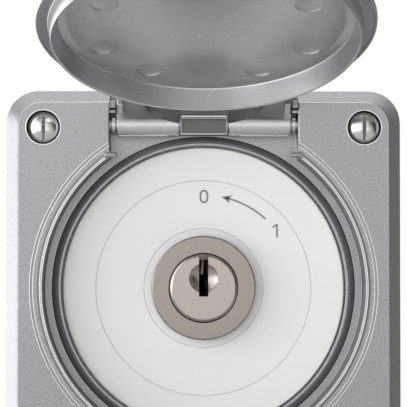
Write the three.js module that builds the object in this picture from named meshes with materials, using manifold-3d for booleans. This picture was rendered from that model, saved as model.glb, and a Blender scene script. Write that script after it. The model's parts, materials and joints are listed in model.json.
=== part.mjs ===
// Flush-mounted selector key switch with a hinged round lid.
// Frame: +Z up, +X to the right, the front faces -Y, the wall is the plane y = 0.
// Sections are written as (r or x, h), where h is the height in front of the wall, h = -y.
import * as THREE from 'three';
import Module from 'manifold-3d';
import { mergeVertices } from 'three/addons/utils/BufferGeometryUtils.js';

const wasm = await Module();
wasm.setup();

// ---- driving dimensions, mm ----
const FRAME_HALF = 42.0;
const FRAME_CORNER_R = 7.0;
const SHOULDER_H = 9.8;
const FACE_HALF = 38.95;
const FACE_H = 15.8;
const RIM_BACK_H = 1.8;
const HOLLOW_HALF = 39.6;
const HOLLOW_CORNER_R = 5.0;
const WELL_R = 33.75;
const WELL_FLOOR_H = 10.0;
const FLOOR_BACK_H = 7.8;
const OPENING_R = 30.1;
const LIP_R = 30.7;
const LIP_H = 11.5;
const SEAL_GROOVE_R = 32.0;
const SEAL_GROOVE_H = 9.3;
const BEAD_R = 34.65;
const BEAD_H = 16.3;
const STEP_R = 36.5;
const STEP_H = 15.55;
const RECESS_HALF = 19.75;
const SCREW_PITCH_HALF = 33.7;
const COUNTERBORE_R = 3.6;
const FAR = 50;
const PIN_Z = 34.4;
const PIN_H = 12.8;
const PIN_R = 1.25;
const BARREL_R = 2.45;
const ARM_INNER_X = 5.2;
const ARM_OUTER_X = 18.25;
const LID_OPEN_DEG = 112;
const LID_R = 34.05;
const SKIRT_R = 31.45;
const SCOOP = { halfX: 12.6, halfZ: 4.8, topZ: 38.9, rise: 1.8, lean: 0.9 };
const MARK_R = 2.85;
const MARK_SPOTS = [[11.3, 21.8], [20.9, 12.0], [20.2, -6.0], [11.3, -20.0]];
const COVER_R = 29.75;
const COVER_SPLIT_R = 22.8;
const COVER_INNER_R = 12.6;
const COVER_H = 9.3;
const BEZEL_R = 11.0;
const BEZEL_H = 12.3;
const PLUG_R = 7.2;
const SHELL_BORE_R = 7.35;
const SHELL_R = 9.0;
const KEY_SLOT_HALF = 0.98;
const PIN_STACKS = [-6.0, -9.4, -12.8];
const PLATE_H = 1.2;
const SWITCH_R = 26.5;
const SWITCH_BACK_H = -26.0;
const CAM_R = 6.5;
const CAM_RISE_PER_RAD = 2.6;
const FOLLOWER_Z = -6.85;
const BASE_SCREW_X = 20.0;
const COVER_SCREW_X = 16.0;
const COVER_SCREW_Z = 14.0;
const TERMINAL_X = 13.6;

// ---- materials ----
const MATERIALS = {
  aluminium: { color: 0xa5a6aa, roughness: 0.45, metalness: 0.9 },
  nickel: { color: 0xa59b92, roughness: 0.3, metalness: 1.0 },
  steel: { color: 0xb9bbbd, roughness: 0.35, metalness: 1.0 },
  brass: { color: 0xc2a25a, roughness: 0.35, metalness: 1.0 },
  white: { color: 0xececec, roughness: 0.4, metalness: 0.0 },
  rubber: { color: 0x3a3b3d, roughness: 0.85, metalness: 0.0 },
  grey: { color: 0x5d6064, roughness: 0.55, metalness: 0.0 },
};

// ---- solid helpers ----
function toSolid(geometry) {
  const bare = geometry.clone();
  bare.deleteAttribute('normal');
  bare.deleteAttribute('uv');
  const welded = mergeVertices(bare, 1e-4);
  const positions = welded.getAttribute('position').array;
  const source = welded.getIndex().array;
  const kept = [];
  let volume = 0;
  for (let i = 0; i < source.length; i += 3) {
    const [a, b, c] = [source[i], source[i + 1], source[i + 2]];
    if (a === b || b === c || a === c) continue;
    kept.push(a, b, c);
    const pa = new THREE.Vector3().fromArray(positions, a * 3);
    const pb = new THREE.Vector3().fromArray(positions, b * 3);
    const pc = new THREE.Vector3().fromArray(positions, c * 3);
    volume += pa.dot(pb.cross(pc));
  }
  if (volume < 0) kept.reverse();
  return new wasm.Manifold(new wasm.Mesh({
    numProp: 3,
    vertProperties: new Float32Array(positions),
    triVerts: new Uint32Array(kept),
  }));
}

function turned(profile, segments = 28) {
  const points = profile.map(([r, h]) => new THREE.Vector2(r, h));
  const geometry = new THREE.LatheGeometry(points, segments);
  geometry.rotateX(Math.PI);
  return geometry;
}

function ring(inner, outer, low, high, segments = 28) {
  const profile = [[inner, low], [outer, low], [outer, high], [inner, high], [inner, low]];
  return toSolid(turned(profile, segments));
}

function disc(radius, low, high, segments = 28) {
  return toSolid(turned([[0, low], [radius, low], [radius, high], [0, high]], segments));
}

function discAt(radius, low, high, x, z, segments = 12) {
  return disc(radius, low, high, segments).translate([x, 0, z]);
}

function block(x0, x1, z0, z1, low, high) {
  const geometry = new THREE.BoxGeometry(x1 - x0, high - low, z1 - z0);
  geometry.translate((x0 + x1) / 2, -(low + high) / 2, (z0 + z1) / 2);
  return toSolid(geometry);
}

function extruded(outline, low, high) {
  const shape = new THREE.Shape(outline.map(([x, z]) => new THREE.Vector2(x, z)));
  const geometry = new THREE.ExtrudeGeometry(shape, { depth: high - low, bevelEnabled: false });
  geometry.translate(0, 0, low);
  geometry.rotateX(Math.PI / 2);
  return toSolid(geometry);
}

function rodX(radius, x0, x1, z, h, segments = 12) {
  const geometry = new THREE.CylinderGeometry(radius, radius, x1 - x0, segments);
  geometry.rotateZ(Math.PI / 2);
  geometry.translate((x0 + x1) / 2, -h, z);
  return toSolid(geometry);
}

function rodZ(radius, z0, z1, x, h, segments = 12) {
  const geometry = new THREE.CylinderGeometry(radius, radius, z1 - z0, segments);
  geometry.rotateX(Math.PI / 2);
  geometry.translate(x, -h, (z0 + z1) / 2);
  return toSolid(geometry);
}

// An outline of (z, h) points drawn out along X.
function barX(outline, x0, x1) {
  const shape = new THREE.Shape(outline.map(([z, h]) => new THREE.Vector2(z, h)));
  const geometry = new THREE.ExtrudeGeometry(shape, { depth: x1 - x0, bevelEnabled: false });
  const [alongZ, alongH, alongX] = [[0, 0, 1], [0, -1, 0], [1, 0, 0]].map((v) => new THREE.Vector3(...v));
  geometry.applyMatrix4(new THREE.Matrix4().makeBasis(alongZ, alongH, alongX));
  geometry.translate(x0, 0, 0);
  return toSolid(geometry);
}

function roundedSquare(half, radius, steps = 4) {
  const points = [];
  const corners = [[1, 1, 0], [-1, 1, 90], [-1, -1, 180], [1, -1, 270]];
  for (const [sx, sz, start] of corners) {
    for (let i = 0; i <= steps; i += 1) {
      const angle = THREE.MathUtils.degToRad(start + (90 * i) / steps);
      const x = sx * (half - radius) + radius * Math.cos(angle);
      const z = sz * (half - radius) + radius * Math.sin(angle);
      points.push([x, z]);
    }
  }
  return points;
}

// Skins a stack of equal-count outlines, each { outline, h }, with flat ends.
function loft(sections) {
  const count = sections[0].outline.length;
  const positions = [];
  const index = [];
  for (const { outline, h } of sections) {
    for (const [x, z] of outline) positions.push(x, -h, z);
  }
  for (let s = 0; s + 1 < sections.length; s += 1) {
    for (let i = 0; i < count; i += 1) {
      const a = s * count + i;
      const b = s * count + ((i + 1) % count);
      index.push(a, b, a + count, b, b + count, a + count);
    }
  }
  const top = (sections.length - 1) * count;
  for (let i = 1; i + 1 < count; i += 1) {
    index.push(0, i + 1, i, top, top + i, top + i + 1);
  }
  const geometry = new THREE.BufferGeometry();
  geometry.setAttribute('position', new THREE.Float32BufferAttribute(positions, 3));
  geometry.setIndex(index);
  return toSolid(geometry);
}

function coil(coilR, wireR, length, turns, segments = 14) {
  const points = [];
  const steps = turns * segments;
  for (let i = 0; i <= steps; i += 1) {
    const angle = (2 * Math.PI * i) / segments;
    points.push(new THREE.Vector3(
      coilR * Math.cos(angle), coilR * Math.sin(angle), (length * i) / steps));
  }
  const path = new THREE.CatmullRomCurve3(points);
  const section = new THREE.Shape();
  section.absarc(0, 0, wireR, 0, Math.PI * 2, false);
  const geometry = new THREE.ExtrudeGeometry(section, {
    steps, extrudePath: path, curveSegments: 2, bevelEnabled: false,
  });
  return geometry;
}

function span(a, b) {
  return [Math.min(a, b), Math.max(a, b)];
}

function union(solids) {
  return solids.reduce((sum, solid) => sum.add(solid));
}

function openLid(solid) {
  const matrix = new THREE.Matrix4().makeTranslation(0, -PIN_H, PIN_Z)
    .multiply(new THREE.Matrix4().makeRotationX(-THREE.MathUtils.degToRad(LID_OPEN_DEG)))
    .multiply(new THREE.Matrix4().makeTranslation(0, PIN_H, -PIN_Z));
  return solid.transform(matrix.elements);
}

// ---- front frame ----
const CORNERS = [[-1, 1], [1, 1], [1, -1], [-1, -1]];

function squareLoft(profile, cornerAt) {
  return loft(profile.map(([half, h]) => ({ outline: roundedSquare(half, cornerAt(half)), h })));
}

function atCorners(make) {
  return union(CORNERS.map(([sx, sz]) => make(sx * SCREW_PITCH_HALF, sz * SCREW_PITCH_HALF)));
}

function frameShell() {
  const outside = squareLoft([
    [FRAME_HALF, RIM_BACK_H], [FRAME_HALF - 0.25, SHOULDER_H], [FACE_HALF + 0.4, FACE_H - 0.65],
    [FACE_HALF + 0.15, FACE_H - 0.25], [FACE_HALF - 0.2, FACE_H],
  ], (half) => FRAME_CORNER_R - 0.7 * (FRAME_HALF - half));
  const behind = extruded(roundedSquare(HOLLOW_HALF, HOLLOW_CORNER_R), -1, FLOOR_BACK_H);
  const underFace = squareLoft([
    [HOLLOW_HALF, FLOOR_BACK_H - 0.5], [HOLLOW_HALF - 0.2, SHOULDER_H - 0.6], [HOLLOW_HALF - 2.2, FACE_H - 2.9],
  ], () => HOLLOW_CORNER_R);
  const keptUnderFace = union([
    disc(WELL_R + 2.2, 0, FAR, 32),
    block(-RECESS_HALF - 3.4, RECESS_HALF + 3.4, 10, FAR, 0, FAR),
  ]);
  const bosses = atCorners((x, z) => discAt(6.2, 0, FAR, x, z, 12));
  const hollow = union([behind, underFace.subtract(keptUnderFace)]).subtract(bosses);
  return outside.subtract(hollow);
}

function frameRings() {
  const steps = disc(STEP_R, STEP_H, FAR, 40)
    .subtract(ring(WELL_R, BEAD_R, 0, STEP_H + 0.01, 40));
  const bead = toSolid(turned([
    [WELL_R, 14], [BEAD_R, 14], [BEAD_R, BEAD_H - 0.15], [BEAD_R - 0.15, BEAD_H],
    [WELL_R + 0.15, BEAD_H], [WELL_R, BEAD_H - 0.15], [WELL_R, 14],
  ], 40));
  const well = disc(WELL_R, WELL_FLOOR_H, FAR, 40);
  const lip = toSolid(turned([
    [OPENING_R, 8], [LIP_R, 8], [LIP_R, LIP_H - 0.15], [LIP_R - 0.15, LIP_H],
    [OPENING_R, LIP_H], [OPENING_R, 8],
  ], 40));
  return { steps, bead, well, lip };
}

function hingeRecess() {
  const cut = block(-RECESS_HALF, RECESS_HALF, 22, FAR, WELL_FLOOR_H, FAR);
  return cut.subtract(disc(SEAL_GROOVE_R + 0.6, 0, FAR, 40));
}

function hingeLugs() {
  const foot = WELL_FLOOR_H - 0.5;
  const centre = block(-4.9, 4.9, 32.2, 36.4, foot, 15.3);
  const pocket = barX([[32.45, 14.9], [35.85, 14.25], [35.85, 17], [32.45, 17]], -4.6, 4.6);
  const posts = [];
  for (const side of [-1, 1]) {
    const [x0, x1] = span(side * 18.6, side * (RECESS_HALF + 0.3));
    posts.push(block(x0, x1, 36.75, 37.5, foot, 14.2));
    posts.push(block(x0, x1, 37.8, 39.4, foot, 14.6));
    const [b0, b1] = span(side * 18.5, side * (RECESS_HALF + 0.6));
    posts.push(rodX(0.55, b0, b1, 27.8, 15.6, 10));
  }
  return union([centre.subtract(pocket), ...posts]);
}

function frontFrame() {
  const rings = frameRings();
  let solid = frameShell().subtract(rings.steps).add(rings.bead);
  solid = solid.subtract(rings.well).subtract(hingeRecess());
  solid = solid.subtract(ring(LIP_R, SEAL_GROOVE_R, SEAL_GROOVE_H, FAR, 40));
  solid = solid.subtract(disc(OPENING_R, -2, FAR, 40)).add(rings.lip).add(hingeLugs());
  solid = solid.subtract(rodX(PIN_R + 0.08, -21.7, 21.7, PIN_Z, PIN_H));
  const counterbores = atCorners((x, z) => discAt(COUNTERBORE_R, 13.1, FAR, x, z, 20));
  const screwHoles = atCorners((x, z) => discAt(2.2, -1, FAR, x, z, 12));
  return solid.subtract(counterbores).subtract(screwHoles);
}

function frameGasket() {
  const outer = extruded(roundedSquare(FRAME_HALF - 0.3, FRAME_CORNER_R - 0.2), 0, RIM_BACK_H - 0.3);
  return outer.subtract(extruded(roundedSquare(HOLLOW_HALF - 0.5, HOLLOW_CORNER_R - 0.4), -1, 3));
}

function lidSeal() {
  return toSolid(turned([
    [31.0, SEAL_GROOVE_H + 0.3], [31.7, SEAL_GROOVE_H + 0.3], [31.7, 12.6], [31.55, 13.2],
    [31.35, 13.4], [31.15, 13.2], [31.0, 12.6], [31.0, SEAL_GROOVE_H + 0.3],
  ], 40));
}

// ---- corner screws ----
function frameScrew(x, z) {
  const body = toSolid(turned([
    [0, 0.15], [1.4, 0.15], [1.9, 0.7], [1.9, 13.95], [3.05, 13.95],
    [3.05, 14.6], [2.75, 15.15], [2.1, 15.55], [1.1, 15.8], [0, 15.88],
  ], 12));
  return body.subtract(block(-0.38, 0.38, -4, 4, 14.75, 17)).translate([x, 0, z]);
}

function screwSeal(x, z) {
  return ring(2.15, 3.3, 13.35, 13.7, 12).translate([x, 0, z]);
}

// ---- lid ----
// The lid is drawn closed, with q the height in front of the hinge pin, and then swung open.
function lidShell() {
  const profile = [
    [0, 8.2], [26, 8.1], [31, 7.5], [33.2, 6.8], [LID_R, 6.1], [LID_R, 5.6], [LID_R - 0.1, 4.9],
    [LID_R - 0.55, 4.9], [LID_R - 0.65, 5.3], [SKIRT_R, 5.3], [SKIRT_R - 0.5, 1.6],
    [SKIRT_R - 0.6, 1.5], [SKIRT_R - 0.85, 1.5], [SKIRT_R - 0.95, 1.6], [SKIRT_R - 1.1, 4.4],
    [SKIRT_R - 1.4, 6.2], [28, 6.5], [22, 6.75], [0, 6.75],
  ];
  return toSolid(turned(profile.map(([r, q]) => [r, PIN_H + q]), 48));
}

// A barrel, a web that leans back from it, and a foot under the lid's flange.
function lidArm(side) {
  const [x0, x1] = span(side * ARM_INNER_X, side * ARM_OUTER_X);
  const outline = [
    [2.16, 1.15], [0.55, 5.0], [9, 5.0], [9, 6.2], [0, 6.2], [-0.5, 5.2], [-2.05, 1.45], [-1, 0], [1, 0],
  ];
  const web = barX(outline.map(([below, q]) => [PIN_Z - below, PIN_H + q]), x0, x1);
  const [e0, e1] = span(side * (ARM_OUTER_X - 1.3), side * ARM_OUTER_X);
  const ear = block(e0, e1, PIN_Z - 6, PIN_Z + 0.6, PIN_H + 1.7, PIN_H + 5.2);
  const inside = disc(SKIRT_R - 0.6, 0, FAR, 48);
  return web.add(ear).subtract(inside).add(rodX(BARREL_R, x0, x1, PIN_Z, PIN_H, 24));
}

function ejectorMarks() {
  const marks = MARK_SPOTS.flatMap(([x, z]) => [-1, 1].map(
    (side) => discAt(MARK_R, PIN_H + 5, PIN_H + 7.05, side * x, z, 16)));
  return union(marks);
}

// A half-round hollow across the arms, with a leaning floor, placed where the open lid holds it.
function hingeScoop() {
  const steps = 20;
  const outline = [];
  for (let i = 0; i <= steps; i += 1) {
    const angle = Math.PI * (1 + i / steps);
    outline.push([SCOOP.halfX * Math.cos(angle), SCOOP.topZ + SCOOP.halfZ * Math.sin(angle)]);
  }
  const floorAt = (z) => PIN_H + SCOOP.rise - SCOOP.lean * (z - PIN_Z);
  const [lowZ, highZ] = [SCOOP.topZ - SCOOP.halfZ - 1, SCOOP.topZ + 1];
  const floor = barX([[lowZ, floorAt(lowZ)], [highZ, floorAt(highZ)], [highZ, 0], [lowZ, 0]], -20, 20);
  return extruded(outline, WELL_FLOOR_H + 0.5, 18).subtract(floor);
}

function lid() {
  const solid = union([lidShell(), lidArm(-1), lidArm(1)]).subtract(ejectorMarks());
  const skirt = openLid(lidShell());
  const open = openLid(solid.subtract(rodX(PIN_R + 0.06, -25, 25, PIN_Z, PIN_H)));
  return open.subtract(hingeScoop().subtract(skirt));
}

function hingePin() {
  return rodX(PIN_R, -21.3, 21.3, PIN_Z, PIN_H);
}

function hingeWasher(side) {
  const [inner, outer] = [PIN_R + 0.3, 1.9];
  const geometry = new THREE.LatheGeometry([
    new THREE.Vector2(inner, -0.45), new THREE.Vector2(outer - 0.3, -0.45),
    new THREE.Vector2(outer, -0.2), new THREE.Vector2(outer, 0.2),
    new THREE.Vector2(outer - 0.3, 0.45), new THREE.Vector2(inner, 0.45),
    new THREE.Vector2(inner, -0.45),
  ], 12);
  geometry.rotateZ(Math.PI / 2);
  geometry.translate(side * 19.0, -PIN_H, PIN_Z);
  return toSolid(geometry);
}

// ---- white cover ----
function coverRing() {
  return toSolid(turned([
    [28.0, 1.6], [COVER_R, 1.6], [COVER_R, 6.2], [COVER_R + 1.6, 6.2], [COVER_R + 1.6, 7.4],
    [COVER_R, 7.4], [COVER_R, COVER_H - 0.2], [COVER_R - 0.2, COVER_H],
    [COVER_SPLIT_R + 0.3, COVER_H], [COVER_SPLIT_R + 0.15, COVER_H - 0.15], [COVER_SPLIT_R + 0.15, 6.9],
    [20.6, 6.9], [20.6, 5.6], [28.0, 5.6], [28.0, 1.6],
  ], 40));
}

function coverDisc() {
  return toSolid(turned([
    [COVER_INNER_R + 0.15, 7.2], [COVER_SPLIT_R - 0.15, 7.2], [COVER_SPLIT_R - 0.15, COVER_H - 0.15],
    [COVER_SPLIT_R - 0.3, COVER_H], [COVER_INNER_R + 0.3, COVER_H],
    [COVER_INNER_R + 0.15, COVER_H - 0.15], [COVER_INNER_R + 0.15, 7.2],
  ], 40));
}

function lockCollar() {
  return toSolid(turned([
    [9.35, 4.0], [11.2, 4.0], [11.2, 6.0], [COVER_INNER_R - 0.15, 6.9],
    [COVER_INNER_R - 0.15, COVER_H - 0.15], [COVER_INNER_R - 0.3, COVER_H], [9.35, COVER_H], [9.35, 4.0],
  ], 32));
}

// ---- lock ----
function lockBezel() {
  return toSolid(turned([
    [PLUG_R + 0.3, COVER_H + 0.35], [BEZEL_R - 0.15, COVER_H + 0.35],
    [BEZEL_R, COVER_H + 0.5], [BEZEL_R, BEZEL_H - 0.35], [BEZEL_R - 0.35, BEZEL_H],
    [PLUG_R + 0.3, BEZEL_H], [PLUG_R + 0.3, COVER_H + 0.35],
  ], 32));
}

function lockShell() {
  const barrel = toSolid(turned([
    [SHELL_BORE_R, -16.0], [SHELL_R, -16.0], [SHELL_R, 1.5], [11.0, 1.5], [11.0, 3.6],
    [SHELL_R, 3.6], [SHELL_R, COVER_H], [SHELL_BORE_R, COVER_H], [SHELL_BORE_R, -16.0],
  ], 32));
  const pinChest = block(-3, 3, 8.0, 15.2, -15.0, -4.3).subtract(disc(SHELL_BORE_R + 0.4, -20, 20));
  const chambers = PIN_STACKS.map((h) => rodZ(1.3, 5, 14.4, 0, h));
  return barrel.add(pinChest).subtract(union(chambers));
}

function lockPlug() {
  const body = toSolid(turned([
    [0, -22.6], [2.6, -22.6], [2.6, -17.6], [5.4, -17.6], [5.4, -16.2], [PLUG_R, -16.2],
    [PLUG_R, BEZEL_H - 0.75], [PLUG_R - 0.55, BEZEL_H - 0.1], [0, BEZEL_H - 0.1],
  ], 32));
  const slot = block(-KEY_SLOT_HALF, KEY_SLOT_HALF, -1.8, 6.0, -15, 20);
  const notch = block(-KEY_SLOT_HALF, KEY_SLOT_HALF, 5.9, 8, BEZEL_H - 1.0, 20);
  const ward = block(-KEY_SLOT_HALF - 0.5, 0, -0.6, 0.6, -15, BEZEL_H - 1.5);
  const bowl = new THREE.SphereGeometry(4.3, 20, 12);
  bowl.translate(0, -(BEZEL_H + 3.1), 2.05);
  const tailHole = disc(1.55, -23, -18.5, 20);
  const tailFlat = block(-4, 4, -4, -1.7, -24, -17.8);
  const chambers = PIN_STACKS.map((h) => rodZ(1.3, 1.5, 9, 0, h));
  const cuts = union([slot, notch, ward, toSolid(bowl), tailHole, tailFlat, ...chambers]);
  return body.subtract(cuts);
}

function hexagon(acrossFlats) {
  const radius = acrossFlats / Math.sqrt(3);
  const points = [];
  for (let i = 0; i < 6; i += 1) {
    const angle = (Math.PI / 3) * i;
    points.push([radius * Math.cos(angle), radius * Math.sin(angle)]);
  }
  return points;
}

function lockNut() {
  return extruded(hexagon(22), -3.6, -0.9).subtract(disc(SHELL_R + 0.3, -6, 2));
}

function lockWasher() {
  return ring(SHELL_R + 0.3, 11.6, -0.6, -0.3);
}

function plugClip() {
  const clip = ring(5.65, 8.2, -17.3, -16.5, 32);
  return clip.subtract(block(-2.2, 2.2, -10, 0, -20, -14));
}

function keyPin(h) {
  const tip = new THREE.CylinderGeometry(1.15, 0.45, 0.8, 10);
  tip.rotateX(Math.PI / 2);
  tip.translate(0, -h, 2.6);
  return toSolid(tip).add(rodZ(1.15, 2.9, 7.0, 0, h, 10));
}

function driverPin(h) {
  return rodZ(1.15, 7.5, 10.0, 0, h, 10);
}

function pinSpring(h) {
  const geometry = coil(0.9, 0.16, 3.6, 4, 8);
  geometry.translate(0, -h, 10.4);
  return toSolid(geometry);
}

// Outline of the cam seen from the front: the radius grows evenly over the working angle.
function camOutline() {
  const points = [];
  for (let degrees = -180; degrees < 180; degrees += 8) {
    let rise = 0;
    if (degrees >= 0 && degrees <= 64) rise = CAM_RISE_PER_RAD * THREE.MathUtils.degToRad(degrees);
    if (degrees > 64 && degrees < 80) {
      rise = CAM_RISE_PER_RAD * THREE.MathUtils.degToRad(64) * ((80 - degrees) / 16);
    }
    const angle = THREE.MathUtils.degToRad(degrees - 90);
    points.push([(CAM_R + rise) * Math.cos(angle), (CAM_R + rise) * Math.sin(angle)]);
  }
  return points;
}

function driveCam() {
  const cam = extruded(camOutline(), -22.2, -19.7).add(disc(4.4, -19.9, -18.9, 32));
  const tail = disc(2.85, -30, 0, 32).subtract(block(-4, 4, -4, -1.95, -30, 0));
  const springHole = discAt(0.65, -30, 0, 0, 5.3, 16);
  return cam.subtract(tail).subtract(springHole);
}

function camScrew() {
  const body = toSolid(turned([
    [0, -24.4], [2.6, -24.4], [3.4, -23.9], [3.4, -22.9], [1.3, -22.9], [1.3, -18.9], [0, -18.9],
  ], 12));
  return body.subtract(block(-4, 4, -0.4, 0.4, -25, -23.7));
}

function returnSpring() {
  const geometry = coil(10.0, 0.4, 2.0, 2, 20);
  geometry.rotateX(Math.PI / 2);
  geometry.translate(0, 18.9, 0);
  return toSolid(geometry);
}

// ---- support plate and switch ----
function supportPlate() {
  const outline = extruded(roundedSquare(38.7, 4.2), 0, PLATE_H);
  const holes = [disc(SHELL_R + 0.4, -1, 3), atCorners((x, z) => discAt(2.15, -1, 3, x, z))];
  for (const side of [-1, 1]) {
    const slotX = side * 30;
    holes.push(discAt(2.1, -1, 3, slotX, -2), discAt(2.1, -1, 3, slotX, 2));
    holes.push(block(slotX - 2.1, slotX + 2.1, -2, 2, -1, 3));
    const windowZ = side * 31;
    holes.push(discAt(1.6, -1, 3, -4, windowZ, 16), discAt(1.6, -1, 3, 4, windowZ, 16));
    holes.push(block(-4, 4, windowZ - 1.6, windowZ + 1.6, -1, 3));
    holes.push(discAt(1.9, -1, 3, side * BASE_SCREW_X, 0));
  }
  return outline.subtract(union(holes));
}

function switchBase() {
  let base = toSolid(turned([
    [13.4, -0.3], [13.4, -2.4], [24.4, -2.4], [24.4, SWITCH_BACK_H], [SWITCH_R - 0.2, SWITCH_BACK_H],
    [SWITCH_R, SWITCH_BACK_H + 0.3], [SWITCH_R, -0.5], [SWITCH_R - 0.2, -0.3], [13.4, -0.3],
  ], 32));
  const guide = union([
    block(-5.6, 5.6, -12.7, -9.8, -24, -19.5), block(-5.6, 5.6, -12.7, -10.9, -19.6, -18.0),
  ]).subtract(block(-1.8, 1.8, -20, 0, -22.5, -19.3));
  const column = union([
    block(-5.6, 5.6, -17.5, -10.9, -18.3, -4.0), block(-5.6, 5.6, -17.5, -13.8, -4.5, -2),
  ]);
  const ledges = union([
    block(5, 18, -22.2, -18.8, -24, -2), block(-18, -5, -22.2, -18.8, -24, -2),
    block(-5.5, 5.5, -25.2, -22.5, -24, -2),
  ]);
  const bosses = [];
  const holes = [];
  for (const side of [-1, 1]) {
    bosses.push(discAt(3.2, -14, -2, side * BASE_SCREW_X, 0));
    bosses.push(block(side * 22 - 2, side * 22 + 2, -1.2, 1.2, -14, -2));
    holes.push(discAt(1.5, -12, 1, side * BASE_SCREW_X, 0));
    bosses.push(discAt(3.0, SWITCH_BACK_H, -2, side * COVER_SCREW_X, COVER_SCREW_Z));
    bosses.push(block(side * 17.5 - 1.6, side * 17.5 + 1.6, 14, 17, SWITCH_BACK_H, -2));
    holes.push(discAt(1.25, -30, -16, side * COVER_SCREW_X, COVER_SCREW_Z));
  }
  const rim = disc(SWITCH_R - 0.6, -40, 0, 32);
  base = base.add(union([guide, column, ledges, ...bosses]).intersect(rim));
  return base.subtract(union(holes)).subtract(disc(13.4, -2.6, 1, 32));
}

function baseScrew(x) {
  const body = toSolid(turned([
    [0, -10], [0.8, -10], [1.3, -9.2], [1.3, 1.5], [2.6, 1.5], [2.5, 2.3], [1.7, 2.9], [0, 3.1],
  ], 12));
  return body.subtract(block(-0.35, 0.35, -3, 3, 2.1, 4)).translate([x, 0, 0]);
}

function rearCover() {
  let cover = toSolid(turned([
    [0, -28.3], [SWITCH_R - 0.6, -28.3], [SWITCH_R, -27.7], [SWITCH_R, SWITCH_BACK_H - 0.3],
    [0, SWITCH_BACK_H - 0.3],
  ], 32));
  for (const side of [-1, 1]) {
    cover = cover.subtract(discAt(3.0, -30, -20, side * TERMINAL_X, -14.8, 20));
    cover = cover.subtract(discAt(1.6, -30, -20, side * COVER_SCREW_X, COVER_SCREW_Z));
    cover = cover.subtract(discAt(2.3, -30, -20, side * 7.2, -16.5, 16));
  }
  return cover;
}

function coverScrew(x) {
  const body = toSolid(turned([
    [0, -30.2], [1.6, -30.0], [2.6, -29.4], [2.7, -28.6], [1.1, -28.6], [1.1, -18], [0, -17.4],
  ], 12));
  return body.subtract(block(-0.35, 0.35, -3, 3, -31, -29.4)).translate([x, 0, COVER_SCREW_Z]);
}

function plunger() {
  const outline = [
    [-1.5, FOLLOWER_Z - 0.8], [-1.0, FOLLOWER_Z - 0.25], [-0.4, FOLLOWER_Z], [0.4, FOLLOWER_Z],
    [1.0, FOLLOWER_Z - 0.25], [1.5, FOLLOWER_Z - 0.8], [1.5, -13.6], [-1.5, -13.6],
  ];
  const rod = extruded(outline.slice().reverse(), -22.2, -19.6);
  const head = block(-2.7, 2.7, -16.2, -13.4, -23.2, -18.6);
  const window = block(-9, 9, -15.5, -14.2, -22.2, -19.6);
  return rod.add(head).subtract(window).add(rodZ(0.9, -19.0, -16.0, 0, -20.9));
}

function plungerSpring() {
  const geometry = coil(1.5, 0.26, 5.4, 5, 10);
  geometry.translate(0, 20.9, -22.0);
  return toSolid(geometry);
}

function contactBridge() {
  const bar = block(-9, 9, -15.1, -14.5, -21.9, -19.9);
  return union([bar, rodZ(1.0, -15.4, -14.9, -7.6, -20.9), rodZ(1.0, -15.4, -14.9, 7.6, -20.9)]);
}

function fixedContact(side) {
  const [x0, x1] = side > 0 ? [5.4, 15.2] : [-15.2, -5.4];
  return block(x0, x1, -18.5, -17.9, -22.6, -19.0);
}

function terminalClamp(side) {
  const x = side * TERMINAL_X;
  const clamp = block(x - 2.6, x + 2.6, -17.6, -12.0, -23.0, -18.6);
  const wire = rodX(1.3, x - 6, x + 6, -14.8, -20.6, 16);
  return clamp.subtract(wire).subtract(discAt(1.25, -30, -20, x, -14.8, 20));
}

function terminalScrew(side) {
  const body = toSolid(turned([
    [0, -25.6], [1.9, -25.5], [2.3, -25.0], [2.3, -23.6], [1.0, -23.6], [1.0, -22.2], [0, -22.0],
  ], 12));
  const x = side * TERMINAL_X;
  return body.subtract(block(-3, 3, -0.35, 0.35, -26, -24.8)).translate([x, 0, -14.8]);
}

const part = new THREE.Group();
part.name = 'selector_key_switch';

function put(name, solid, material) {
  const mesh = solid.getMesh();
  const geometry = new THREE.BufferGeometry();
  geometry.setAttribute('position', new THREE.BufferAttribute(mesh.vertProperties, 3));
  geometry.setIndex(new THREE.BufferAttribute(mesh.triVerts, 1));
  geometry.computeVertexNormals();
  const node = new THREE.Mesh(geometry, new THREE.MeshStandardMaterial(MATERIALS[material]));
  node.name = name;
  part.add(node);
}

put('front_frame', frontFrame(), 'aluminium');
put('frame_gasket', frameGasket(), 'rubber');
put('lid_seal', lidSeal(), 'rubber');
put('lid', lid(), 'aluminium');
put('hinge_pin', hingePin(), 'steel');
put('hinge_washer_left', hingeWasher(-1), 'steel');
put('hinge_washer_right', hingeWasher(1), 'steel');
put('cover_ring', coverRing(), 'white');
put('cover_disc', coverDisc(), 'white');
put('lock_collar', lockCollar(), 'white');
put('lock_bezel', lockBezel(), 'nickel');
put('lock_shell', lockShell(), 'brass');
put('lock_plug', lockPlug(), 'nickel');
put('lock_nut', lockNut(), 'steel');
put('lock_washer', lockWasher(), 'steel');
put('plug_clip', plugClip(), 'steel');
['top_left', 'top_right', 'bottom_right', 'bottom_left'].forEach((corner, i) => {
  const [x, z] = CORNERS[i].map((side) => side * SCREW_PITCH_HALF);
  put(`frame_screw_${corner}`, frameScrew(x, z), 'steel');
  put(`screw_seal_${corner}`, screwSeal(x, z), 'rubber');
});
put('support_plate', supportPlate(), 'steel');
put('switch_base', switchBase(), 'grey');
put('rear_cover', rearCover(), 'grey');
put('drive_cam', driveCam(), 'white');
put('cam_screw', camScrew(), 'steel');
put('return_spring', returnSpring(), 'steel');
put('plunger', plunger(), 'white');
put('plunger_spring', plungerSpring(), 'steel');
put('contact_bridge', contactBridge(), 'brass');
for (const [side, word] of [[-1, 'left'], [1, 'right']]) {
  put(`fixed_contact_${word}`, fixedContact(side), 'brass');
  put(`terminal_clamp_${word}`, terminalClamp(side), 'brass');
  put(`terminal_screw_${word}`, terminalScrew(side), 'steel');
  put(`base_screw_${word}`, baseScrew(side * BASE_SCREW_X), 'steel');
  put(`cover_screw_${word}`, coverScrew(side * COVER_SCREW_X), 'steel');
}
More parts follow.
